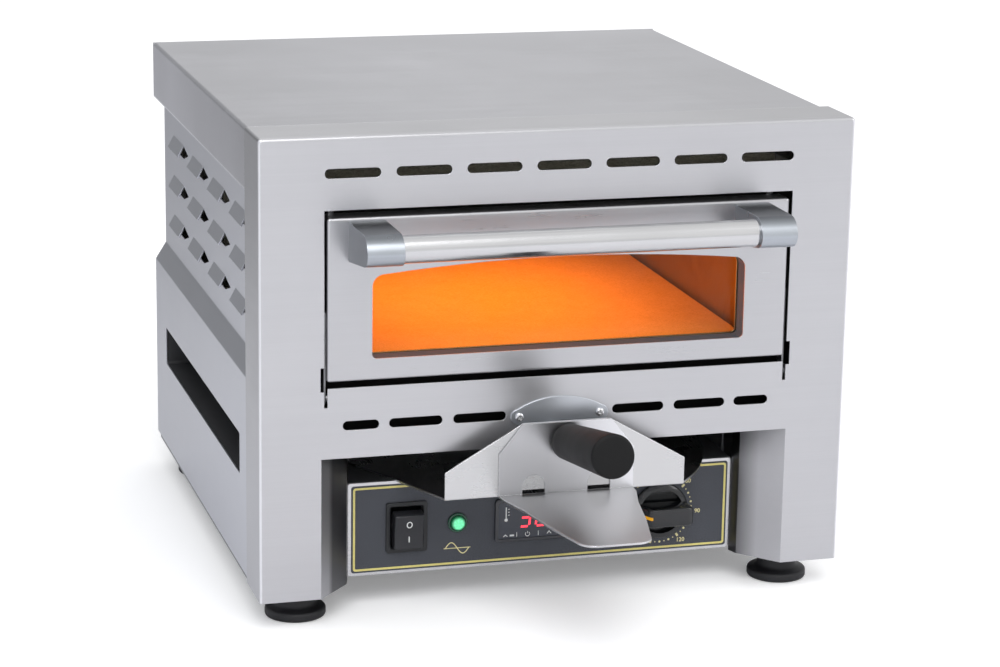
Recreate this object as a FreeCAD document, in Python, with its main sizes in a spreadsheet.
import FreeCAD, Part
import Sketcher
import math
import os

# Countertop pizza oven: folded-sheet casing, drop-down glazed door, stone-based
# heated chamber, control panel and a peel that is stored in the slot above the
# control panel.
#
# Working datum of every sub-part: X = 0 on the centre line (+X to the right as
# seen from the front), Y = 0 on the outer face of the front frame (+Y to the
# back), Z = 0 on the underside of the casing. Each sub-part's Placement then moves
# it by front_y and foot_h, so that the finished oven stands on Z = 0 with its
# origin under the middle of its box.

Vector = FreeCAD.Vector
Rotation = FreeCAD.Rotation
os.makedirs("parts", exist_ok=True)
doc = FreeCAD.newDocument("CountertopPizzaOven")

# ---------------------------------------------------------------- dimensions
# alias, millimetres or degrees, meaning
TABLE = [
    ("front_y", -171.8, "front face of the frame from the origin"),
    ("foot_h", 22.5, "height of the feet"),
    ("body_w", 450.0, "width of the front frame"),
    ("body_top", 343.5, "top of the frame and lid above the casing's underside"),
    ("frame_d", 49.0, "depth of the front frame"),
    ("sheet", 1.5, "heavy sheet thickness"),
    ("thin", 1.2, "casing sheet thickness"),
    ("bend_r", 2.5, "outer bend radius of the frame"),
    ("low_open_w", 359.0, "width of the lower opening"),
    ("low_open_top", 106.6, "top of the lower opening"),
    ("door_open_w", 354.6, "width of the door opening"),
    ("door_open_bot", 159.4, "bottom of the door opening"),
    ("door_open_top", 290.2, "top of the door opening"),
    ("slit_bot", 145.0, "bottom of the hinge arm slit"),
    ("notch_top", 175.0, "top of the hinge notch"),
    ("vent_len", 41.0, "length of a front vent slot"),
    ("vent_ht", 7.0, "height of a front vent slot"),
    ("vent_pitch", 52.2, "pitch of the upper vent slots"),
    ("vent_up", 316.8, "height of the upper vent row"),
    ("vent_low", 131.0, "height of the lower vent row"),
    ("cheek_in", 151.0, "half width between the cheeks"),
    ("fascia_y", 38.2, "set-back of the control panel"),
    ("fascia_bot", 2.2, "bottom of the control panel"),
    ("fascia_top", 74.6, "top of the control panel"),
    ("case_shift", -3.35, "sideways offset of the casing in the frame"),
    ("case_w", 442.9, "width of the lid and skirts"),
    ("upper_in", 8.9, "step in from the skirt to the louvred wall"),
    ("case_back", 443.3, "rear edge of the casing"),
    ("lid_side", 45.5, "drop of the lid's side flanges"),
    ("skirt_bot", 4.6, "lower edge of the skirts"),
    ("skirt_top", 157.7, "upper edge of the skirts"),
    ("shoulder", 171.9, "top of the sloped shoulder"),
    ("wall_top", 336.0, "top of the side wall under the lid"),
    ("louvre_len", 47.0, "length of a louvre"),
    ("louvre_out", 5.2, "how far a louvre stands out"),
    ("louvre_drop", 9.0, "drop of a louvre's lip"),
    ("louvre_pitch", 89.0, "pitch of the louvres along the wall"),
    ("louvre_row", 33.6, "pitch of the louvre rows"),
    ("louvre_y", 85.5, "front end of the first louvre's lip"),
    ("louvre_z", 272.0, "bend line of the top louvre row"),
    ("grip_y", 75.0, "front end of the hand hold"),
    ("grip_len", 322.0, "length of the hand hold"),
    ("grip_z", 77.0, "lower edge of the hand hold"),
    ("grip_ht", 31.5, "height of the hand hold"),
    ("door_w", 350.6, "width of the door"),
    ("door_bot", 164.0, "bottom edge of the door"),
    ("door_top", 284.5, "top edge of the door"),
    ("door_d", 18.0, "depth of the door's outer pan"),
    ("win_w", 284.0, "width of the window"),
    ("win_bot", 180.0, "bottom of the window"),
    ("win_side", 242.2, "height of the window's upper corners"),
    ("win_arc", 1290.0, "radius of the window's top edge"),
    ("pivot_y", 9.0, "door pivot behind the frame face"),
    ("pivot_z", 150.0, "height of the door pivot"),
    ("pin_r", 3.0, "radius of the hinge pin"),
    ("run_gap", 0.05, "radial running clearance"),
    ("bar_r", 10.0, "radius of the handle bar"),
    ("bar_y", -44.0, "handle bar centre in front of the frame"),
    ("bar_z", 270.0, "height of the handle bar"),
    ("bracket_in", 132.5, "inner side of a handle bracket"),
    ("bracket_w", 27.0, "width of a handle bracket"),
    ("cav_w", 310.0, "inside width of the chamber"),
    ("cav_bot", 139.7, "chamber floor"),
    ("cav_top", 291.0, "chamber ceiling"),
    ("cav_front", 24.0, "front flange of the chamber"),
    ("cav_back", 345.0, "inside back of the chamber"),
    ("mouth_bot", 174.5, "bottom of the chamber mouth in its flange"),
    ("mouth_top", 274.0, "top of the chamber mouth in its flange"),
    ("wool", 25.0, "insulation thickness"),
    ("stone_w", 305.0, "width of the baking stone"),
    ("stone_d", 314.0, "depth of the baking stone"),
    ("stone_bot", 163.0, "underside of the stone"),
    ("stone_t", 13.5, "thickness of the stone"),
    ("tube_r", 5.5, "radius of a heating tube"),
    ("peel_r", 150.0, "radius of the round end of the peel"),
    ("peel_cy", 140.0, "centre of the round end"),
    ("peel_z", 75.0, "underside of the stored peel"),
    ("peel_t", 1.5, "peel sheet thickness"),
    ("peel_front", -18.0, "back face of the peel's upturned flange"),
    ("haft_len", 106.0, "length of the peel's grip"),
    ("haft_tilt", 10.5, "upward tilt of the grip"),
    ("foot_x", 191.0, "feet from the centre line"),
    ("foot_fy", 37.0, "front feet from the frame face"),
    ("foot_ry", 406.0, "rear feet from the frame face"),
    ("foot_r", 22.75, "radius of a foot's pad"),
    ("stud_r", 4.0, "radius of a foot's stud"),
    ("knob_x", 93.5, "timer axis"),
    ("knob_z", 37.0, "timer axis height"),
    ("knob_r", 22.0, "radius of the timer knob's skirt"),
    ("rock_x", -106.0, "rocker switch centre"),
    ("rock_z", 38.3, "rocker switch centre height"),
    ("rock_y", 42.5, "rocker pivot"),
    ("rock_tilt", 6.0, "rocker tilt either side of centre"),
    ("lamp_x", -66.5, "pilot lamp centre"),
    ("lamp_z", 38.7, "pilot lamp centre height"),
    ("ctl_w", 75.2, "controller bezel width"),
    ("ctl_ht", 34.1, "controller bezel height"),
    ("ctl_z", 37.7, "controller centre height"),
    ("cord_r", 4.0, "radius of the mains cord"),
]


class Size:
    """A size: its value, and the spreadsheet expression that gives it."""

    def __init__(self, value, text):
        self.value = float(value)
        self.text = text

    @staticmethod
    def of(other):
        if isinstance(other, Size):
            return other
        return Size(other, "(%s)" % repr(round(float(other), 6)))

    def __add__(self, other):
        other = Size.of(other)
        return Size(self.value + other.value, "(%s + %s)" % (self.text, other.text))

    def __radd__(self, other):
        return Size.of(other) + self

    def __sub__(self, other):
        other = Size.of(other)
        return Size(self.value - other.value, "(%s - %s)" % (self.text, other.text))

    def __rsub__(self, other):
        return Size.of(other) - self

    def __mul__(self, other):
        other = Size.of(other)
        return Size(self.value * other.value, "(%s * %s)" % (self.text, other.text))

    def __rmul__(self, other):
        return Size.of(other) * self

    def __truediv__(self, other):
        other = Size.of(other)
        return Size(self.value / other.value, "(%s / %s)" % (self.text, other.text))

    def __neg__(self):
        return Size(-self.value, "(-1 * %s)" % self.text)

    def bound(self):
        return "Dims." in self.text


class Dim:
    """The table's rows as attributes, such as Dim.body_w."""


table = doc.addObject("Spreadsheet::Sheet", "Dims")
for line, (alias, number, note) in enumerate(TABLE, 1):
    table.set("A%d" % line, alias)
    table.set("B%d" % line, str(number))
    table.set("C%d" % line, note)
    table.setAlias("B%d" % line, alias)
    setattr(Dim, alias, Size(number, "Dims." + alias))
doc.recompute()

SIDES = (-1, 1)                    # left, right
OUTWARD = {-1: "-X", 1: "X"}
# turns a primitive's own Z axis to the named direction
TURN = {"X": Rotation(Vector(0, 1, 0), 90), "-X": Rotation(Vector(0, 1, 0), -90),
        "Y": Rotation(Vector(1, 0, 0), -90), "-Y": Rotation(Vector(1, 0, 0), 90),
        "Z": Rotation()}
PARTS = []
POCKETS = []


# ---------------------------------------------------------- document helpers
def lower(first, second):
    return min(first, second, key=lambda size: Size.of(size).value)


def bind(obj, prop, size):
    size = Size.of(size)
    if size.bound():
        obj.setExpression(prop, size.text)
    else:
        setattr(obj, prop, size.value)


def place(obj, x, y, z, rotation=None):
    """Put an object at a point of the working datum."""
    x, y, z = Size.of(x), Size.of(y) + Dim.front_y, Size.of(z) + Dim.foot_h
    obj.Placement = FreeCAD.Placement(Vector(x.value, y.value, z.value),
                                      rotation or Rotation())
    if x.bound():
        obj.setExpression("Placement.Base.x", x.text)
    obj.setExpression("Placement.Base.y", y.text)
    obj.setExpression("Placement.Base.z", z.text)


def part(label, obj):
    obj.Label = label
    PARTS.append(obj)


def group(label, items):
    """Identical or paired pieces that share one node as separate solids."""
    compound = doc.addObject("Part::Compound", "Group")
    compound.Links = items
    part(label, compound)


def pair(label, make):
    group(label, [make(side) for side in SIDES])


# ------------------------------------------------------------ outline helpers
# A loop is a circle or a list of vertices (x, y[, r]): r makes the segment that
# starts at the vertex an arc, counter-clockwise.
def rrect(x0, y0, x1, y1, r):
    return [(x0 + r, y0), (x1 - r, y0, r), (x1, y0 + r), (x1, y1 - r, r),
            (x1 - r, y1), (x0 + r, y1, r), (x0, y1 - r), (x0, y0 + r, r)]


def centred(x, y, half_w, half_ht, r):
    return rrect(x - half_w, y - half_ht, x + half_w, y + half_ht, r)


def rect(x0, y0, x1, y1):
    return [(x0, y0), (x1, y0), (x1, y1), (x0, y1)]


def slot(x, y, length, height):
    r = Size.of(height) / 2
    x0, x1 = x - Size.of(length) / 2, x + Size.of(length) / 2
    y0, y1 = y - r, y + r
    return [(x0 + r, y0), (x1 - r, y0, r), (x1, y, r),
            (x1 - r, y1), (x0 + r, y1, r), (x0, y, r)]


def circle(x, y, r):
    return ("circle", x, y, r)


def circle_pair(x, y, r):
    return [circle(side * x, y, r) for side in SIDES]


def handed(side, loop):
    """A straight-sided loop drawn for the right, on the given side."""
    return [(side * x, y) for x, y in loop]


def mirrored(half, centre=0):
    """Close half an outline with its mirror image about x = centre."""
    image = []
    for i in range(len(half) - 1, -1, -1):
        bend = half[i - 1][2:] if i else ()
        image.append((2 * centre - half[i][0], half[i][1]) + bend)
    return half + image


def arc(start, end, radius):
    """Counter-clockwise arc of at most half a turn."""
    chord = end - start
    rise = max(radius * radius - (chord.Length / 2) ** 2, 0.0) ** 0.5
    centre = (start + end) * 0.5 + Vector(-chord.y, chord.x, 0).normalize() * rise
    angles = [Vector(1, 0, 0).getAngle(p - centre) * (1 if p.y >= centre.y else -1)
              for p in (start, end)]
    return Part.ArcOfCircle(Part.Circle(centre, Vector(0, 0, 1), radius), *angles)


# --------------------------------------------------------------- body helpers
def new_body(label=None, at=(0, 0, 0), rotation=None):
    body = doc.addObject("PartDesign::Body", "Body")
    place(body, at[0], at[1], at[2], rotation)
    if label:
        part(label, body)
    return body


def tilted_body(label, at, angle):
    """A body turned about X by a bound angle in degrees."""
    body = new_body(label, at, Rotation(Vector(1, 0, 0), angle.value))
    body.setExpression("Placement.Rotation.Angle", "%s * 1 deg" % angle.text)
    return body


def sketch(body, role, loops, offset=0):
    """Fully dimensioned sketch on an origin plane moved to the given coordinate."""
    plane = [f for f in body.Origin.OriginFeatures if f.Role == role + "_Plane"][0]
    profile = body.newObject("Sketcher::SketchObject", "Sketch")
    profile.AttachmentSupport = [(plane, "")]
    profile.MapMode = "FlatFace"
    offset = Size.of(offset)
    if role == "XZ":
        offset = -offset
    profile.AttachmentOffset = FreeCAD.Placement(Vector(0, 0, offset.value), Rotation())
    if offset.bound():
        profile.setExpression("AttachmentOffset.Base.z", offset.text)
    geometry, constraints, sizes = [], [], []

    def constrain(size, *terms):
        sizes.append((len(constraints), size))
        constraints.append(Sketcher.Constraint(*terms, size.value))

    def pin(index, point, x, y):
        constrain(x, "DistanceX", -1, 1, index, point)
        constrain(y, "DistanceY", -1, 1, index, point)

    for loop in loops:
        if loop[0] == "circle":
            x, y, r = [Size.of(size) for size in loop[1:]]
            index = len(geometry)
            geometry.append(Part.Circle(Vector(x.value, y.value, 0),
                                        Vector(0, 0, 1), r.value))
            pin(index, 3, x, y)
            constrain(r, "Radius", index)
            continue
        first = len(geometry)
        vertices = [[Size.of(size) for size in vertex] for vertex in loop]
        for i, (x, y, *bend) in enumerate(vertices):
            next_x, next_y = vertices[(i + 1) % len(vertices)][:2]
            start = Vector(x.value, y.value, 0)
            end = Vector(next_x.value, next_y.value, 0)
            index = first + i
            if bend:
                geometry.append(arc(start, end, bend[0].value))
                constrain(bend[0], "Radius", index)
            else:
                geometry.append(Part.LineSegment(start, end))
            pin(index, 1, x, y)
        for i in range(len(vertices)):
            constraints.append(Sketcher.Constraint(
                "Coincident", first + i, 2, first + (i + 1) % len(vertices), 1))
    profile.addGeometry(geometry, False)
    profile.addConstraint(constraints)
    for index, size in sizes:
        if size.bound():
            profile.setExpression("Constraints[%d]" % index, size.text)
    return profile


def extrude(body, role, loops, start, length):
    """Add material from the coordinate start towards + by length."""
    profile = sketch(body, role, loops, start)
    pad = body.newObject("PartDesign::Pad", "Pad")
    pad.Profile = profile
    pad.Reversed = role == "XZ"
    bind(pad, "Length", length)
    return pad


def cut(body, role, loops, start, length):
    """Remove material from the coordinate start towards + by length."""
    profile = sketch(body, role, loops, start)
    pocket = body.newObject("PartDesign::Pocket", "Pocket")
    pocket.Profile = profile
    pocket.Reversed = role != "XZ"
    bind(pocket, "Length", length)
    POCKETS.append(pocket)
    return pocket


def pierce(body, role, loops, start, thickness):
    """Cut through a wall, with 1 mm to spare on both of its faces."""
    return cut(body, role, loops, start - 1, thickness + 2)


def revolve(body, loop):
    """Turn a profile (radius, height) about the body's own Z axis."""
    profile = sketch(body, "XZ", [loop])
    turned = body.newObject("PartDesign::Revolution", "Revolution")
    turned.Profile = profile
    turned.ReferenceAxis = (profile, ["V_Axis"])
    turned.Angle = 360.0


def repeat(body, name, originals, axis, length, count):
    """Repeat features evenly over a length along an axis of the first's sketch."""
    pattern = body.newObject("PartDesign::LinearPattern", name)
    pattern.Originals = originals
    pattern.Direction = (originals[0].Profile[0], [axis])
    bind(pattern, "Length", length)
    pattern.Occurrences = count
    body.Tip = pattern


def fillet(body, picks, radius):
    """Round edges of the tip. A pick is (axis, x, y, z): straight edges along
    the axis whose middle has the given coordinates (None is any)."""
    doc.recompute()
    tip = body.Tip

    def matches(edge, pick):
        direction = edge.tangentAt(edge.FirstParameter)
        middle = edge.valueAt((edge.FirstParameter + edge.LastParameter) / 2)
        if abs(getattr(direction, pick[0])) < 0.999:
            return False
        for want, have in zip(pick[1:], middle):
            if want is None:
                continue
            options = want if isinstance(want, list) else [want]
            if not any(abs(Size.of(option).value - have) < 0.06 for option in options):
                return False
        return True

    names = ["Edge%d" % i for i, edge in enumerate(tip.Shape.Edges, 1)
             if edge.Curve.TypeId == "Part::GeomLine"
             and any(matches(edge, pick) for pick in picks)]
    if not names:
        raise RuntimeError("no edges found to round on " + body.Label)
    rounded = body.newObject("PartDesign::Fillet", "Round")
    rounded.Base = (tip, names)
    bind(rounded, "Radius", radius)


# --------------------------------------------------------- primitive helpers
def box(x, y, z, dx, dy, dz):
    block = doc.addObject("Part::Box", "Box")
    bind(block, "Length", dx)
    bind(block, "Width", dy)
    bind(block, "Height", dz)
    place(block, x, y, z)
    return block


def cyl(x, y, z, axis, r, length):
    cylinder = doc.addObject("Part::Cylinder", "Cylinder")
    bind(cylinder, "Radius", r)
    bind(cylinder, "Height", length)
    place(cylinder, x, y, z, TURN[axis])
    return cylinder


def cone(x, y, z, axis, r1, r2, length):
    taper = doc.addObject("Part::Cone", "Cone")
    bind(taper, "Radius1", r1)
    bind(taper, "Radius2", r2)
    bind(taper, "Height", length)
    place(taper, x, y, z, TURN[axis])
    return taper


def fuse(items):
    union = doc.addObject("Part::MultiFuse", "Fuse")
    union.Shapes = items
    return union


def minus(base, tools):
    difference = doc.addObject("Part::Cut", "Cut")
    difference.Base = base
    difference.Tool = tools[0] if len(tools) == 1 else fuse(tools)
    return difference


def screw(x, y, z, way, r=1.65, length=8.0, head_r=3.3, head_h=2.2):
    """Pan-head screw along Y: the seat of its head is at the point, its shank
    goes towards + (way 1) or - (way -1) and its head stands out the other way."""
    ahead, back = ("Y", "-Y") if way > 0 else ("-Y", "Y")
    rim = 0.55 * head_h
    return fuse([cyl(x, y, z, ahead, r, length),
                 cyl(x, y, z, back, head_r, rim),
                 cone(x, y - way * rim, z, back, head_r, 0.7 * head_r, head_h - rim)])


def tube_along(points, radius, bend):
    """Round cable along straight runs of the working datum, joined by arcs."""
    corners = [Vector(*p) for p in points]
    runs, at = [], corners[0]

    def disc(centre, along):
        return Part.Face(Part.Wire([Part.makeCircle(radius, centre, along)]))

    for before, corner, after in zip(corners, corners[1:], corners[2:]):
        arriving = (corner - before).normalize()
        leaving = (after - corner).normalize()
        angle = arriving.getAngle(leaving)
        reach = bend * math.tan(angle / 2)
        start = corner - arriving * reach
        runs.append(disc(at, arriving).extrude(start - at))
        normal = arriving.cross(leaving).normalize()
        centre = start + normal.cross(arriving) * bend
        runs.append(disc(start, arriving).revolve(centre, normal, math.degrees(angle)))
        at = corner + leaving * reach
    last = (corners[-1] - at).normalize()
    runs.append(disc(at, last).extrude(corners[-1] - at))
    return runs[0].multiFuse(runs[1:]).removeSplitter().Solids[0]


def cable(label, shape):
    feature = doc.addObject("Part::Feature", "Cable")
    feature.Shape = shape
    place(feature, 0, 0, 0)
    part(label, feature)


# =================================================================== casing
FOOT_HOLE_R = 4.5
SCREW_HOLE_R = 1.7                 # casing screws
BADGE_Z = 129.5
BADGE_SCREW_X = 31.0
BADGE_HOLE_R = 1.6
LOWER_VENTS = [(60.9, 40.0), (109.1, 40.0), (150.1, 27.0)]   # centre x, length
GLAND_X, GLAND_Z, GLAND_R = 150.0, 34.0, 8.0
REAR_SCREWS_UPPER = (190.0, 255.0, 320.0)   # heights
REAR_SCREWS_LOWER = (32.0, 125.0)
GRILLE_ROWS = (322.0, 308.0, 60.0, 74.0, 88.0)   # heights
LID_EDGE = Dim.body_top - Dim.lid_side


def case_x(side, inset=0):
    """X of a plane parallel to the skirt, inset from its outer face."""
    return Dim.case_shift + side * (Dim.case_w / 2 - inset)


def rear_screw_sites(side):
    upper, low = case_x(side, Dim.upper_in + 7.0), case_x(side, 13.0)
    return [(upper, z) for z in REAR_SCREWS_UPPER] + [(low, z) for z in REAR_SCREWS_LOWER]


def front_frame():
    """Folded pan with return flanges, door and control openings, two rows of
    vent slots, hinge slits and angled cheeks beside the control panel."""
    half_w, low_half = Dim.body_w / 2, Dim.low_open_w / 2
    frame = new_body("front_frame")
    extrude(frame, "XZ", [rect(-half_w, 0, half_w, Dim.body_top)], 0, Dim.frame_d)
    fillet(frame, [("z", [-half_w, half_w], 0, None), ("x", None, 0, Dim.body_top),
                   ("y", [-half_w, half_w], None, Dim.body_top)], Dim.bend_r)
    cut(frame, "XZ", [rect(-half_w + Dim.sheet, Dim.sheet,
                           half_w - Dim.sheet, Dim.body_top - Dim.sheet)],
        Dim.sheet, Dim.frame_d)
    pierce(frame, "XZ", [rect(-low_half, -2, low_half, Dim.low_open_top)], 0, Dim.frame_d)

    # door opening with the hinge slits below it and a notch in each side
    slit_out = Dim.door_open_w / 2
    slit_in, notch_out, notch_bot = slit_out - 2.5, slit_out + 2.7, 157.0
    pierce(frame, "XZ", [mirrored([
        (slit_in, Dim.door_open_bot), (slit_in, Dim.slit_bot), (slit_out, Dim.slit_bot),
        (slit_out, notch_bot), (notch_out, notch_bot), (notch_out, Dim.notch_top),
        (slit_out, Dim.notch_top), (slit_out, Dim.door_open_top)])], 0, Dim.sheet)

    vent = pierce(frame, "XZ", [slot(-3 * Dim.vent_pitch, Dim.vent_up,
                                     Dim.vent_len, Dim.vent_ht)], 0, Dim.sheet)
    repeat(frame, "VentRow", [vent], "H_Axis", 6 * Dim.vent_pitch, 7)
    pierce(frame, "XZ", [slot(side * x, Dim.vent_low, length, Dim.vent_ht)
                         for side in SIDES for x, length in LOWER_VENTS], 0, Dim.sheet)
    pierce(frame, "XZ", circle_pair(BADGE_SCREW_X, BADGE_Z, BADGE_HOLE_R), 0, Dim.sheet)
    pierce(frame, "XY", circle_pair(Dim.foot_x, Dim.foot_fy, FOOT_HOLE_R), 0, Dim.sheet)

    # cheeks in plan and the roof that joins them
    cheek_inner = [(low_half, 0), (153.9, 28.4), (Dim.cheek_in, 38.0)]
    cheek_outer = [(low_half + 2.1, 0), (155.4, 29.2), (Dim.cheek_in + 1.6, 38.0)]
    for side in (1, -1):
        extrude(frame, "XY", [handed(side, cheek_inner + cheek_outer[::-1])],
                0, Dim.low_open_top)
    extrude(frame, "XY", [mirrored(cheek_outer)], Dim.low_open_top, Dim.sheet)


def badge():
    """Blank oval plate and its two pan-head screws."""
    plate = new_body("badge_plate", at=(0, 0, BADGE_Z))
    extrude(plate, "XZ", [[(-33.0, -5.5, 66.6), (33.0, -5.5, 5.6), (33.0, 5.5, 66.6),
                           (-33.0, 5.5, 5.6)]], -1.0, 1.0)
    cut(plate, "XZ", circle_pair(BADGE_SCREW_X, 0, BADGE_HOLE_R), -2, 4)
    pair("badge_screws", lambda side: screw(
        side * BADGE_SCREW_X, -1.0, BADGE_Z, 1, r=1.55, length=5.0, head_h=2.0))


def top_cover():
    """One folded sheet over the top and down both sides."""
    top, ceiling = Dim.body_top, Dim.body_top - Dim.thin
    outer, inner = case_x(1), case_x(1, Dim.thin)
    lid = new_body("top_cover")
    extrude(lid, "XZ", [mirrored([(inner, ceiling), (inner, LID_EDGE), (outer, LID_EDGE),
                                  (outer, top)], Dim.case_shift)],
            Dim.frame_d, Dim.case_back - Dim.frame_d)
    fillet(lid, [("y", [case_x(-1), outer], None, top)], 3.0)
    fillet(lid, [("y", [case_x(-1, Dim.thin), inner], None, ceiling)], 1.8)


def side_panel(label, side):
    """Skirt with the hand hold, sloped shoulder and louvred wall."""
    skirt, skirt_back = case_x(side), case_x(side, Dim.thin)
    wall, wall_back = case_x(side, Dim.upper_in), case_x(side, Dim.upper_in + Dim.thin)
    lip_x = wall + side * 7.4
    panel = new_body(label)
    extrude(panel, "XZ", [[
        (skirt, Dim.skirt_bot), (skirt, Dim.skirt_top), (wall, Dim.shoulder),
        (wall, Dim.wall_top - Dim.thin), (lip_x, Dim.wall_top - Dim.thin),
        (lip_x, Dim.wall_top), (wall_back, Dim.wall_top), (wall_back, Dim.shoulder - 0.35),
        (skirt_back, Dim.skirt_top - 0.35), (skirt_back, Dim.skirt_bot)]],
            Dim.frame_d, Dim.case_back - Dim.frame_d)
    fillet(panel, [("y", skirt, None, Dim.skirt_top), ("y", wall, None, Dim.shoulder)], 2.0)

    # rear return flanges that take the rear cover's screws
    flange_y = Dim.case_back - Dim.thin
    extrude(panel, "XZ", [rect(wall - side * 0.4, 176.0, wall - side * 13, 330.0),
                          rect(skirt - side * 0.4, 22.0, skirt - side * 20, 152.0)],
            flange_y, Dim.thin)
    pierce(panel, "XZ", [circle(x, z, SCREW_HOLE_R) for x, z in rear_screw_sites(side)],
           flange_y, Dim.thin)

    # hand hold
    pierce(panel, "YZ", [rrect(Dim.grip_y, Dim.grip_z, Dim.grip_y + Dim.grip_len,
                               Dim.grip_z + Dim.grip_ht, 2.0)],
           lower(skirt, skirt_back), Dim.thin)

    # louvres: lanced openings with a pointed front end and outward lips
    front, back = Dim.louvre_y, Dim.louvre_y + Dim.louvre_len
    openings, lips = [], []
    for row in range(3):
        bend_z = Dim.louvre_z - row * Dim.louvre_row
        lip_z = bend_z - Dim.louvre_drop
        openings.append([(front, bend_z), (front - 22.0, bend_z - 4.4),
                         (front - 1.5, bend_z - 10.4), (back, bend_z - 10.4),
                         (back, bend_z)])
        lips.append([(wall, bend_z + 0.5), (wall + side * Dim.louvre_out, lip_z),
                     (wall + side * (Dim.louvre_out - 1.1), lip_z - 0.6),
                     (wall_back, bend_z - 0.1), (wall_back, bend_z + 0.5)])
    lanced = pierce(panel, "YZ", openings, lower(wall, wall_back), Dim.thin)
    hoods = extrude(panel, "XZ", lips, front + 0.3, Dim.louvre_len - 0.6)
    repeat(panel, "LouvreRow", [lanced, hoods], "H_Axis", 3 * Dim.louvre_pitch, 4)


def side_panels():
    side_panel("left_side_panel", -1)
    side_panel("right_side_panel", 1)


def hand_hold_liner(side):
    """Moulded recess behind a hand hold, open to the outside."""
    depth, wall = 26.0, 1.0
    mouth = case_x(side, Dim.thin + 0.05)
    start = lower(mouth, mouth - side * depth)
    y0, y1 = Dim.grip_y - 2, Dim.grip_y + Dim.grip_len + 2
    z0, z1 = Dim.grip_z - 2, Dim.grip_z + Dim.grip_ht + 2
    liner = new_body()
    extrude(liner, "YZ", [rect(y0, z0, y1, z1)], start, depth)
    cut(liner, "YZ", [rrect(y0 + wall, z0 + wall, y1 - wall, z1 - wall, 3.0)],
        start + side * wall, depth)
    return liner


def hand_hold_liners():
    pair("hand_hold_liners", hand_hold_liner)


def rear_cover():
    """Back sheet with vent grilles, the cord entry and its screw holes."""
    skirt, wall = case_x(1), case_x(1, Dim.upper_in)
    cover = new_body("rear_cover")
    extrude(cover, "XZ", [mirrored([
        (skirt, Dim.skirt_bot), (skirt, Dim.skirt_top), (wall, Dim.shoulder),
        (wall, LID_EDGE), (skirt, LID_EDGE), (skirt, Dim.body_top)], Dim.case_shift)],
            Dim.case_back, Dim.thin)
    span = 300.0
    grille = pierce(cover, "XZ", [slot(Dim.case_shift - span / 2, z, 36.0, 5.0)
                                  for z in GRILLE_ROWS], Dim.case_back, Dim.thin)
    repeat(cover, "GrilleRow", [grille], "H_Axis", span, 7)
    pierce(cover, "XZ", [circle(x, z, SCREW_HOLE_R)
                         for side in SIDES for x, z in rear_screw_sites(side)]
           + [circle(GLAND_X, GLAND_Z, GLAND_R + 0.05)], Dim.case_back, Dim.thin)


def base_pan():
    """Shallow tray with air slots and holes for the rear feet."""
    left, right, front, back = case_x(-1, 1.4), case_x(1, 1.4), 50.2, 442.0
    pan = new_body("base_pan")
    extrude(pan, "XY", [rrect(left, front, right, back, 3.0)], 0, 14.0)
    cut(pan, "XY", [rrect(left + Dim.sheet, front + Dim.sheet,
                          right - Dim.sheet, back - Dim.sheet, 1.5)], Dim.sheet, 20.0)
    pierce(pan, "XY", circle_pair(Dim.foot_x, Dim.foot_ry, FOOT_HOLE_R), 0, Dim.sheet)
    vents = pierce(pan, "XY", [slot(x, 120.0, 50.0, 6.0) for x in (-60.0, 20.0)],
                   0, Dim.sheet)
    repeat(pan, "BaseVents", [vents], "V_Axis", 168.0, 8)


def foot(label, x, y):
    """Levelling foot: moulded pad and neck on a stud."""
    bottom, neck_top, stud_top = -Dim.foot_h, -0.4, 15.5
    revolve(new_body(label, at=(x, y, 0)), [
        (0, bottom), (Dim.foot_r - 1.2, bottom), (Dim.foot_r, bottom + 1.2),
        (Dim.foot_r, bottom + 5.8), (Dim.foot_r - 1.2, bottom + 7.0), (15.5, bottom + 9.0),
        (14.0, neck_top), (Dim.stud_r, neck_top), (Dim.stud_r, stud_top), (0, stud_top)])


def weld_nut(x, y):
    prism = doc.addObject("Part::Prism", "Nut")
    prism.Polygon = 6
    prism.Circumradius = 7.5
    prism.Height = 6.5
    place(prism, x, y, Dim.sheet)
    return minus(prism, [cyl(x, y, 0.5, "Z", Dim.stud_r + Dim.run_gap, 9.0)])


def feet():
    nuts = []
    for end, y in (("front", Dim.foot_fy), ("rear", Dim.foot_ry)):
        for hand, side in (("left", -1), ("right", 1)):
            foot("foot_%s_%s" % (end, hand), side * Dim.foot_x, y)
            nuts.append(weld_nut(side * Dim.foot_x, y))
    group("foot_nuts", nuts)


# ============================================================= chamber stack
SHELF_Z = 112.2                    # underside of the shelf
ON_SHELF = SHELF_Z + Dim.sheet + 0.1
FLANGE_HALF = 196.0                # half width of the shelf and liner flange
FLANGE_SCREW_X = 168.0
FLANGE_SCREW_ZS = (135.0, 285.0)
TUBES = [(110.0, 278.0), (250.0, 278.0), (110.0, 151.0), (250.0, 151.0)]   # y, z
TUBE_HOLE_R = Dim.tube_r + 0.8
PROBE_X, PROBE_Z, PROBE_HOLE_R = 110.0, 262.0, 3.0
CAV_HALF = Dim.cav_w / 2


def chamber_support(side):
    """Channel standing on the base pan under the shelf."""
    inner, outer, toe = 186.0, 186.0 + Dim.sheet, 170.0
    channel = new_body()
    extrude(channel, "XZ", [handed(side, [
        (inner, Dim.sheet), (outer, Dim.sheet), (outer, SHELF_Z), (toe, SHELF_Z),
        (toe, SHELF_Z - Dim.sheet), (inner, SHELF_Z - Dim.sheet)])], 60.0, 325.0)
    return channel


def chamber_shelf():
    pair("chamber_supports", chamber_support)
    shelf = new_body("chamber_shelf")
    extrude(shelf, "XY", [rect(-FLANGE_HALF, 25.6, FLANGE_HALF, 430.0)], SHELF_Z, Dim.sheet)
    cut(shelf, "XY", [rrect(-140.0, 384.0, 140.0, 420.0, 4.0)], 111.0, 4.0)


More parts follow.
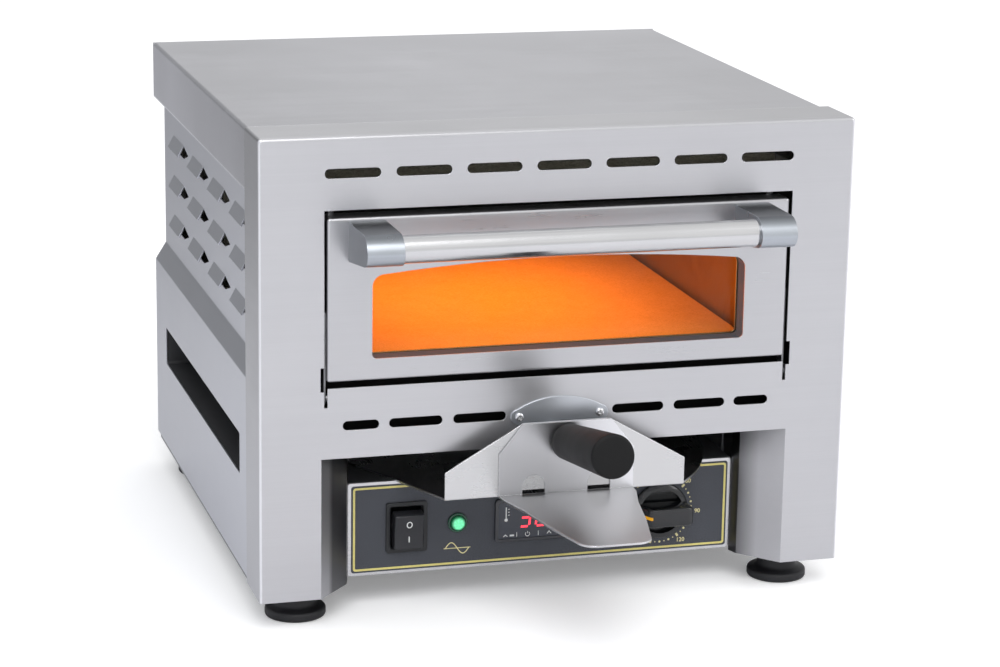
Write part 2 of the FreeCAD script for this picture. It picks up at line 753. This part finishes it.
def chamber_liner():
    """Open-fronted box with a front flange."""
    front, outer = Dim.cav_front, CAV_HALF + Dim.thin
    liner = new_body("chamber_liner")
    extrude(liner, "XZ", [rect(-outer, Dim.cav_bot - Dim.thin, outer, Dim.cav_top + Dim.thin)],
            front, Dim.cav_back + Dim.thin - front)
    extrude(liner, "XZ", [rect(-FLANGE_HALF, 114.0, FLANGE_HALF, 300.0)], front, Dim.thin)
    cut(liner, "XZ", [rrect(-CAV_HALF, Dim.cav_bot, CAV_HALF, Dim.cav_top, 4.0)],
        front + Dim.thin, Dim.cav_back - front - Dim.thin)
    pierce(liner, "XZ", [rrect(-CAV_HALF, Dim.mouth_bot, CAV_HALF, Dim.mouth_top, 4.0)],
           front, Dim.thin)
    cut(liner, "YZ", [circle(y, z, TUBE_HOLE_R) for y, z in TUBES],
        -CAV_HALF - 5, Dim.cav_w + 10)
    cut(liner, "XZ", [circle(PROBE_X, PROBE_Z, PROBE_HOLE_R)], Dim.cav_back - 2, 6.0)
    cut(liner, "XZ", [circle(side * FLANGE_SCREW_X, z, SCREW_HOLE_R)
                      for side in SIDES for z in FLANGE_SCREW_ZS], front - 1, 4.0)


def chamber_post(side):
    """Angle post behind the liner's flange."""
    inner, outer = 160.0, 190.0
    front, back = Dim.cav_front + 1.3, Dim.cav_front + 14.8
    post = new_body()
    extrude(post, "XY", [handed(side, [
        (inner, front), (outer, front), (outer, back), (outer - Dim.sheet, back),
        (outer - Dim.sheet, front + Dim.sheet), (inner, front + Dim.sheet)])],
            ON_SHELF, 186.0)
    cut(post, "XZ", [circle(side * FLANGE_SCREW_X, z, SCREW_HOLE_R)
                     for z in FLANGE_SCREW_ZS], Dim.cav_front, 5.0)
    return post


def chamber_posts():
    pair("chamber_posts", chamber_post)


def casing_screws():
    """Four machine screws on the chamber flange, ten on the rear cover."""
    items = []
    for side in SIDES:
        items += [screw(side * FLANGE_SCREW_X, Dim.cav_front, z, 1)
                  for z in FLANGE_SCREW_ZS]
        items += [screw(x, Dim.case_back + Dim.thin, z, -1, length=7.0)
                  for x, z in rear_screw_sites(side)]
    group("casing_screws", items)


def insulation_blanket():
    """Bottom, top, two sides and back."""
    inner = CAV_HALF + Dim.thin
    outer = inner + Dim.wool
    front, depth = 41.0, 330.0
    liner_bot, liner_top = Dim.cav_bot - Dim.thin, Dim.cav_top + Dim.thin
    height = liner_top - liner_bot
    pieces = [
        box(-outer, front, ON_SHELF, 2 * outer, depth, liner_bot - ON_SHELF - 0.1),
        box(-outer, front, liner_top + 0.1, 2 * outer, depth, 20.0)]
    for side in SIDES:
        start = lower(side * (inner + 0.1), side * outer)
        pieces.append(minus(box(start, front, liner_bot, Dim.wool - 0.1, 304.0, height),
                            [cyl(start - 5, y, z, "X", TUBE_HOLE_R, Dim.wool + 10)
                             for y, z in TUBES]))
    pieces.append(minus(box(-outer, Dim.cav_back + Dim.thin + 0.1, liner_bot,
                            2 * outer, 24.7, height),
                        [cyl(PROBE_X, Dim.cav_back, PROBE_Z, "Y", PROBE_HOLE_R, 40.0)]))
    group("insulation_blanket", pieces)


def heating_tubes():
    """Tubes across the chamber and their ceramic ends."""
    half_length = 193.0
    group("heating_tubes", [cyl(-half_length, y, z, "X", Dim.tube_r, 2 * half_length)
                            for y, z in TUBES])
    group("tube_ends", [minus(cyl(side * 181.5, y, z, OUTWARD[side], 8.0, 17.0),
                              [cyl(side * 180.0, y, z, OUTWARD[side], Dim.tube_r, 13.0)])
                        for y, z in TUBES for side in SIDES])


def stone_ledge(side):
    """Angle on the chamber wall under an edge of the stone."""
    inner, flange = 141.0, CAV_HALF - Dim.sheet
    bottom, top = Dim.stone_bot - Dim.sheet, Dim.stone_bot + 9.0
    ledge = new_body()
    extrude(ledge, "XZ", [handed(side, [
        (inner, bottom), (CAV_HALF, bottom), (CAV_HALF, top), (flange, top),
        (flange, Dim.stone_bot), (inner, Dim.stone_bot)])], 28.0, 315.0)
    return ledge


def baking_stone():
    pair("stone_ledges", stone_ledge)
    half_w, front, top = Dim.stone_w / 2, 27.0, Dim.stone_bot + Dim.stone_t
    stone = new_body("baking_stone")
    extrude(stone, "XY", [rrect(-half_w, front, half_w, front + Dim.stone_d, 6.0)],
            Dim.stone_bot, Dim.stone_t)
    fillet(stone, [("x", None, None, top), ("y", None, None, top)], 2.0)


def temperature_probe():
    """Rod through the back of the chamber with a thicker rear end."""
    part("temperature_probe", fuse([cyl(PROBE_X, 305.0, PROBE_Z, "Y", 2.5, 80.0),
                                    cyl(PROBE_X, 371.5, PROBE_Z, "Y", 5.0, 14.0)]))


# ============================================================ control panel
OVERLAY_T = 0.4
OVERLAY_Y = Dim.fascia_y - OVERLAY_T   # front of the overlay
ROCKER_AXLE_R = 2.0
TIMER_SPINDLE_R = 3.0
PANEL_HOLES = [centred(Dim.rock_x, Dim.rock_z, 14.25, 18.0, 1.5),
               centred(0, Dim.ctl_z, 35.5, 14.75, 1.0),
               circle(Dim.lamp_x, Dim.lamp_z, 6.6), circle(Dim.knob_x, Dim.knob_z, 5.0)]


def control_panel():
    """Fascia with a bottom return flange, and the overlay on its face."""
    fascia = new_body("control_fascia")
    extrude(fascia, "XZ", [rrect(-150.8, Dim.fascia_bot, 150.8, Dim.fascia_top, 2.0)],
            Dim.fascia_y, Dim.sheet)
    extrude(fascia, "XY", [rect(-148.0, Dim.fascia_y + 0.5, 148.0, 49.9)],
            Dim.fascia_bot, Dim.sheet)
    cut(fascia, "XZ", PANEL_HOLES, Dim.fascia_y - 1, 4.0)
    overlay = new_body("fascia_overlay")
    extrude(overlay, "XZ", [rrect(-148.2, 4.6, 148.2, Dim.fascia_top - 2.4, 2.0)],
            OVERLAY_Y, OVERLAY_T)
    cut(overlay, "XZ", PANEL_HOLES, Dim.fascia_y - 2, 4.0)


def rocker_switch():
    x, z = Dim.rock_x, Dim.rock_z
    housing = new_body("rocker_housing")
    extrude(housing, "XZ", [centred(x, z, 15.8, 19.5, 2.0)], OVERLAY_Y - 1.8, 1.8)
    extrude(housing, "XZ", [centred(x, z, 14.1, 17.85, 1.5)], OVERLAY_Y, 24.0)
    cut(housing, "XZ", [centred(x, z, 13.0, 16.6, 1.5)], Dim.fascia_y - 3.0, 21.0)

    # button outline in (y, z) about its pivot
    button = tilted_body("rocker_button", (x, Dim.rock_y, z), Dim.rock_tilt)
    extrude(button, "YZ", [[
        (-14.0, 0), (-15.3, -12.6, 1.2), (-14.2, -13.7), (-5.0, -14.2), (3.0, -4.5),
        (5.0, 0), (3.0, 4.5), (-5.0, 14.2), (-14.2, 13.7, 1.2), (-15.3, 12.6)]],
            -11.2, 22.4)
    cut(button, "YZ", [circle(0, 0, ROCKER_AXLE_R + Dim.run_gap)], -13.0, 26.0)
    half_length = 12.95
    part("rocker_spindle", cyl(x - half_length, Dim.rock_y, z, "X",
                               ROCKER_AXLE_R, 2 * half_length))


def pilot_lamp():
    lens = new_body("pilot_lens", at=(Dim.lamp_x, OVERLAY_Y, Dim.lamp_z), rotation=TURN["-Y"])
    revolve(lens, [(0, 0), (7.7, 0), (7.7, 1.2), (7.0, 1.9), (6.4, 2.0), (6.2, 3.2),
                   (5.2, 4.2), (3.0, 4.9), (0, 5.1)])
    part("pilot_body", cyl(Dim.lamp_x, OVERLAY_Y, Dim.lamp_z, "Y", 6.5, 26.0))


def controller():
    """Digital temperature controller: bezel, window and case."""
    depth, rim, fit = 2.8, 2.6, 0.05
    front, half_w, half_ht = OVERLAY_Y - depth, Dim.ctl_w / 2, Dim.ctl_ht / 2
    bezel = new_body("controller_bezel")
    extrude(bezel, "XZ", [centred(0, Dim.ctl_z, half_w, half_ht, 3.0)], front, depth)
    fillet(bezel, [("x", None, front, None), ("z", None, front, None)], 0.8)
    cut(bezel, "XZ", [centred(0, Dim.ctl_z, half_w - rim, half_ht - rim, 1.5)],
        Dim.fascia_y - 4.0, 2.4)
    window = new_body("controller_window")
    extrude(window, "XZ", [centred(0, Dim.ctl_z, half_w - rim - fit, half_ht - rim - fit,
                                   1.5)], Dim.fascia_y - 2.6, 1.0)
    part("controller_case", box(-35.1, OVERLAY_Y, Dim.ctl_z - 14.3, 70.2, 54.0, 28.6))


def timer():
    """Timer body with its bush, spindle and knob."""
    x, z, face, half = Dim.knob_x, Dim.knob_z, Dim.fascia_y, 22.0
    part("timer_body", minus(
        fuse([box(x - half, face + Dim.sheet, z - half, 2 * half, 28.0, 2 * half),
              cyl(x, face - 2.0, z, "Y", 4.9, 6.0)]),
        [cyl(x, face - 6.0, z, "Y", TIMER_SPINDLE_R + Dim.run_gap, 26.0)]))
    part("timer_spindle", cyl(x, 18.0, z, "Y", TIMER_SPINDLE_R, 34.0))

    # skirt hollowed from behind, with a finger bar across its front
    skirt_r, bar_base, bar_ht = Dim.knob_r, 3.2, 18.8
    bar_top = bar_base + bar_ht
    knob = new_body("timer_knob", at=(x, face - 1.2, z), rotation=TURN["-Y"])
    revolve(knob, [(6.0, 0), (skirt_r - 0.8, 0), (skirt_r, 0.8), (skirt_r, 3.0),
                   (skirt_r - 1.0, 4.0), (skirt_r - 4.0, 5.4), (0, 5.6), (0, 3.0),
                   (6.0, 3.0)])
    extrude(knob, "XY", [centred(0, 0, skirt_r - 1.6, 6.5, 5.0)], bar_base, bar_ht)
    fillet(knob, [("x", None, None, bar_top), ("y", None, None, bar_top)], 1.6)
    cut(knob, "XY", [circle(0, 0, TIMER_SPINDLE_R)], -1.0, 20.0)


# =================================================================== wiring
# each wire's corners (x, y, z), from a control to the gear on the base pan
WIRE_PATHS = [
    [(-110, 63.2, 30), (-110, 76, 30), (-104, 120, 8), (-60, 250, 8), (-46, 340, 8),
     (-42.5, 360, 10), (-42.5, 385, 10)],
    [(-66, 65.0, 36), (-66, 78, 36), (-78, 130, 6), (-52, 250, 6), (-20, 330, 8),
     (-12, 358, 12), (-12, 373.2, 12)],
    [(0, 93.0, 36), (0, 106, 36), (18, 160, 8), (14, 270, 8), (2, 335, 8),
     (0, 358, 14), (0, 373.2, 14)],
    [(93.5, 69.0, 30), (93.5, 82, 30), (110, 130, 8), (116, 270, 8), (128, 350, 8),
     (130, 375, 5), (130, 391.4, 5)],
]
# from inside the casing, out through the gland and down to the plug
CORD_PATH = [(150, 414.6, 10), (150, 424, 10), (150, 430, 34), (150, 468, 34),
             (150, 475, -17.5), (112, 475, -17.5), (84, 475, -7.5), (54.4, 475, -7.5)]


def wiring():
    """Terminal block, relay and wires on the base pan."""
    part("terminal_block", fuse([box(112.0, 392.0, Dim.sheet, 56.0, 22.0, 6.0),
                                 box(114.0, 396.0, Dim.sheet + 5.0, 52.0, 14.0, 12.0)]))
    part("power_relay", fuse([box(-40.0, 370.0, Dim.sheet, 62.0, 46.0, 5.0),
                              box(-34.0, 374.0, Dim.sheet + 4.0, 50.0, 38.0, 22.0)]))
    cable("wiring_harness", Part.makeCompound(
        [tube_along(path, 1.3, 6.0) for path in WIRE_PATHS]))


def mains_lead():
    """Cord gland through the rear cover, cord and two-pin plug."""
    x, y, z = GLAND_X, Dim.case_back, GLAND_Z
    outside = y + Dim.thin
    part("cable_gland", minus(fuse([cyl(x, y - 6.0, z, "Y", GLAND_R, 14.0),
                                    cyl(x, y - 5.0, z, "Y", 11.0, 4.9),
                                    cyl(x, outside + 0.1, z, "Y", 11.5, 7.0),
                                    cone(x, outside + 7.1, z, "Y", 10.0, 7.0, 5.0)]),
                              [cyl(x, y - 10.0, z, "Y", Dim.cord_r + 0.1, 40.0)]))
    cable("power_cord", tube_along(CORD_PATH, Dim.cord_r.value, 8.0))
    plug = new_body("mains_plug", at=(54.0, 475.0, -7.5), rotation=TURN["-X"])
    revolve(plug, [(0, 0), (5.6, 0), (6.4, 8.0), (12.5, 14.0), (14.2, 20.0), (14.6, 34.0),
                   (14.0, 35.0), (0, 35.0)])
    extrude(plug, "XY", [circle(0, y, 2.4) for y in (-9.5, 9.5)], 34.5, 19.5)


# ===================================================================== door
DOOR_HALF = Dim.door_w / 2


def window_outline(grow=0.0):
    """Window outline: flat sill, straight sides and a shallow arched top."""
    half, bottom, top = Dim.win_w / 2 + grow, Dim.win_bot - grow, Dim.win_side + grow
    return mirrored([(half - 3.5, bottom, 3.5), (half, bottom + 3.5), (half, top - 9.0, 9.0),
                     (half - 9.0, top, Dim.win_arc)])


def handle_screw_sites(side):
    return [(side * 146.0, z) for z in (260.5, 274.0)]


def handle_holes(side):
    return [circle(x, z, 2.0) for x, z in handle_screw_sites(side)]


def door_rect(inset, r):
    """Rounded rectangle inset from the door's edges."""
    return rrect(-DOOR_HALF + inset, Dim.door_bot + inset,
                 DOOR_HALF - inset, Dim.door_top - inset, r)


def door_panels():
    """Outer pan and the flat inner panel that closes it."""
    half, bottom, top = DOOR_HALF, Dim.door_bot, Dim.door_top
    outer = new_body("door_outer_panel")
    extrude(outer, "XZ", [rect(-half, bottom, half, top)], 0, Dim.door_d)
    fillet(outer, [("x", None, 0, [bottom, top]), ("z", [-half, half], 0, None),
                   ("y", [-half, half], None, [bottom, top])], 2.0)
    cut(outer, "XZ", [door_rect(Dim.sheet, 1.0)], Dim.sheet, Dim.door_d)
    pierce(outer, "XZ", [window_outline()], 0, Dim.sheet)
    pierce(outer, "XZ", handle_holes(-1) + handle_holes(1), 0, Dim.sheet)
    inner = new_body("door_inner_panel")
    extrude(inner, "XZ", [door_rect(0.4, 3.0)], Dim.door_d, Dim.sheet)
    pierce(inner, "XZ", [window_outline()], Dim.door_d, Dim.sheet)


def door_glazing():
    """Glass, the seal in front of it and the gasket behind the door."""
    glass_t, half_glass = 4.0, Dim.win_w / 2 + 6.0
    glass_y = Dim.door_d - glass_t
    glass = new_body("door_glass")
    extrude(glass, "XZ", [rrect(-half_glass, Dim.win_bot - 6.0, half_glass,
                                Dim.win_side + 12.5, 4.0)], glass_y, glass_t)
    seal = new_body("window_seal")
    extrude(seal, "XZ", [window_outline(3.0)], Dim.sheet, glass_y - Dim.sheet)
    cut(seal, "XZ", [window_outline()], 0, Dim.door_d)
    gasket = new_body("door_gasket")
    extrude(gasket, "XZ", [rrect(-170.0, Dim.door_bot + 3.5, 170.0, Dim.door_top - 3.5, 6.0)],
            Dim.door_d + Dim.sheet, 4.0)
    cut(gasket, "XZ", [rrect(-164.5, Dim.door_bot + 9.0, 164.5, Dim.door_top - 9.0, 3.0)],
        Dim.door_d, 8.0)


def handle_bracket(side):
    """Cast bracket with a blind socket for the bar in its inner side."""
    inner, outer = side * Dim.bracket_in, side * (Dim.bracket_in + Dim.bracket_w)
    bottom, top = 252.5, 281.8
    bracket = new_body()
    extrude(bracket, "YZ", [[
        (0, bottom), (0, top), (-44.0, top, 14.0), (-57.7, 270.0), (-57.7, 268.5, 12.0),
        (-47.0, 259.2)]], lower(inner, outer), Dim.bracket_w)
    fillet(bracket, [("x", None, 0, bottom), ("x", None, 0, top)], 0.8)
    cut(bracket, "YZ", [circle(Dim.bar_y, Dim.bar_z, Dim.bar_r)],
        lower(side * (Dim.bracket_in - 0.01), side * (Dim.bracket_in + 12.0)), 12.01)
    cut(bracket, "XZ", handle_holes(side), -14.0, 16.0)
    return bracket


def handle():
    """Round bar in two brackets held by screws from inside the door."""
    half_length = Dim.bracket_in + 11.9
    pair("handle_brackets", handle_bracket)
    part("handle_bar", cyl(-half_length, Dim.bar_y, Dim.bar_z, "X", Dim.bar_r,
                           2 * half_length))
    group("handle_screws", [
        screw(x, Dim.sheet, z, -1, r=1.95, length=14.5, head_r=3.5, head_h=2.4)
        for side in SIDES for x, z in handle_screw_sites(side)])


def hinge_arm(side):
    """Strip on the door's edge, rounded about the pivot."""
    inner = DOOR_HALF + 0.05
    start = lower(side * inner, side * (inner + Dim.sheet))
    y, z, r, top = Dim.pivot_y, Dim.pivot_z, 4.8, 215.0
    arm = new_body()
    extrude(arm, "YZ", [[(y - r, z, r), (y, z - r, r), (y + r, z), (y + r, top),
                         (y - r, top)]], start, Dim.sheet)
    pierce(arm, "YZ", [circle(y, z, Dim.pin_r + Dim.run_gap)], start, Dim.sheet)
    return arm


def hinge_plate(side):
    """Angle behind the frame's face that carries the pin."""
    inner, bent, outer, back = 178.2, 179.7, 192.0, 20.0
    front = Dim.sheet + 0.02
    plate = new_body()
    extrude(plate, "XY", [handed(side, [
        (inner, front), (outer, front), (outer, front + 1.5), (bent, front + 1.5),
        (bent, back), (inner, back)])], 138.0, 17.0)
    cut(plate, "YZ", [circle(Dim.pivot_y, Dim.pivot_z, Dim.pin_r)],
        lower(side * inner, side * bent) - 1, 4.0)
    return plate


def hinge_pin(side):
    """Pin with a collar at its inner end and one outside the plate."""
    # distance of the inner end from the centre line, radius, length
    sections = [(172.6, Dim.pin_r, 10.4), (172.6, 4.4, 1.5), (180.0, 4.4, 1.5)]
    return fuse([cyl(side * x, Dim.pivot_y, Dim.pivot_z, OUTWARD[side], r, length)
                 for x, r, length in sections])


def hinges():
    pair("hinge_arms", hinge_arm)
    pair("hinge_brackets", hinge_plate)
    pair("hinge_pins", hinge_pin)


# ===================================================================== peel
BOLT_HOLE = circle(0, 114.6, 4.2)
SLOT_X = 25.0                      # D-shaped holes and the slots behind them
GRIP_AT = (0, -24.0, 115.4)
FLANGE_FRONT = Dim.peel_front - Dim.peel_t


def peel_tray():
    """Channel that guides the stored peel between the cheeks."""
    tray = new_body("peel_tray")
    extrude(tray, "XZ", [mirrored([
        (152.7, 73.1), (152.7, 98.5), (185.9, 98.5), (185.9, 100.0), (151.2, 100.0),
        (151.2, 74.6)])], 60.0, 236.0)
    extrude(tray, "XY", [rect(-150.5, 39.9, 150.5, 61.0)], 73.1, 1.5)


def peel_blade():
    """Round-ended blade with its upturned front flange."""
    half, r, centre_y = 92.0, Dim.peel_r, Dim.peel_cy
    blade = new_body("peel_blade")
    # the right side sweeps out in an arc, the left one in two straight runs
    extrude(blade, "XY", [[
        (-half, FLANGE_FRONT), (half, FLANGE_FRONT), (half, Dim.peel_front, 196.0),
        (142.0, centre_y - 48.332, r), (r, centre_y, r), (0, centre_y + r, r),
        (-r, centre_y, r), (-142.0, centre_y - 48.332), (-117.5, 42.0),
        (-half, Dim.peel_front)]], Dim.peel_z, Dim.peel_t)
    extrude(blade, "XZ", [mirrored([(half, Dim.peel_z), (half, 96.0), (33.0, 130.0)])],
            FLANGE_FRONT, Dim.peel_t)
    fillet(blade, [("x", None, FLANGE_FRONT, Dim.peel_z)], 1.4)
    slots = [rect(side * SLOT_X - 8.7, 76.5, side * SLOT_X + 8.7, 79.2) for side in SIDES]
    pierce(blade, "XZ", [BOLT_HOLE] + slots, FLANGE_FRONT, Dim.peel_t)


def peel_bracket():
    """Upright with two D-shaped holes, bent into the hand shield."""
    half, back = 51.7, FLANGE_FRONT - 0.05
    front = back - Dim.peel_t
    bracket = new_body("peel_bracket")
    extrude(bracket, "XZ", [mirrored([(half, Dim.peel_z), (half, 108.0), (34.0, 130.0)])],
            front, Dim.peel_t)
    extrude(bracket, "XY", [mirrored([
        (15.0, -146.0, 13.0), (27.2, -135.0), (36.2, -98.0), (43.6, -58.0),
        (50.8, back - 12.0), (half, back)])], Dim.peel_z, Dim.peel_t)
    fillet(bracket, [("x", None, back, Dim.peel_z)], 1.4)
    r, arch_z = 8.75, 82.2
    pierce(bracket, "XZ", [[
        (x - r, 76.6), (x + r, 76.6), (x + r, arch_z, r), (x, arch_z + r, r),
        (x - r, arch_z)] for x in (-SLOT_X, SLOT_X)], front, Dim.peel_t)
    pierce(bracket, "XZ", [BOLT_HOLE], front, Dim.peel_t)


def peel_handle():
    """Tapered grip and its long bolt, tilted up from the bracket."""
    angle, length, bolt_r = 90 - Dim.haft_tilt, Dim.haft_len, 3.0
    grip = tilted_body("peel_grip", GRIP_AT, angle)
    revolve(grip, [(bolt_r, 0), (12.7, 0), (13.5, 0.8), (16.0, length - 3.0),
                   (15.2, length - 0.8), (13.6, length), (0, length), (0, 62.0),
                   (bolt_r, 62.0)])
    bolt = tilted_body("peel_bolt", GRIP_AT, angle)
    revolve(bolt, [(0, -12.4), (4.2, -12.4), (5.0, -11.6), (5.0, -7.4), (bolt_r, -7.4),
                   (bolt_r, 60.0), (0, 60.0)])


# ================================================================== write out
def check():
    """Stop before anything is written if the model has a fault."""
    faults = []
    for obj in doc.Objects:
        if any(flag in obj.State for flag in ("Invalid", "Error")):
            faults.append("%s (%s): %s" % (obj.Label, obj.Name, obj.State))
    for pocket in POCKETS:
        base = pocket.BaseFeature
        if base is not None and not pocket.Shape.Volume < base.Shape.Volume - 1e-3:
            faults.append("%s cuts nothing" % pocket.Name)
    for obj in PARTS:
        if obj.Shape.isNull() or not obj.Shape.isValid() or not obj.Shape.Solids:
            faults.append("%s has no valid solid" % obj.Label)
    if faults:
        raise RuntimeError("model faults: " + "; ".join(faults))


for build in (front_frame, badge, top_cover, side_panels, hand_hold_liners, rear_cover,
              base_pan, feet, chamber_shelf, chamber_liner, chamber_posts, casing_screws,
              insulation_blanket, heating_tubes, baking_stone, temperature_probe,
              control_panel, rocker_switch, pilot_lamp, controller, timer, wiring,
              mains_lead, door_panels, door_glazing, handle, hinges, peel_tray,
              peel_blade, peel_bracket, peel_handle):
    build()
doc.recompute()
check()
for obj in PARTS:
    obj.Shape.exportStep("parts/%s.step" % obj.Label)
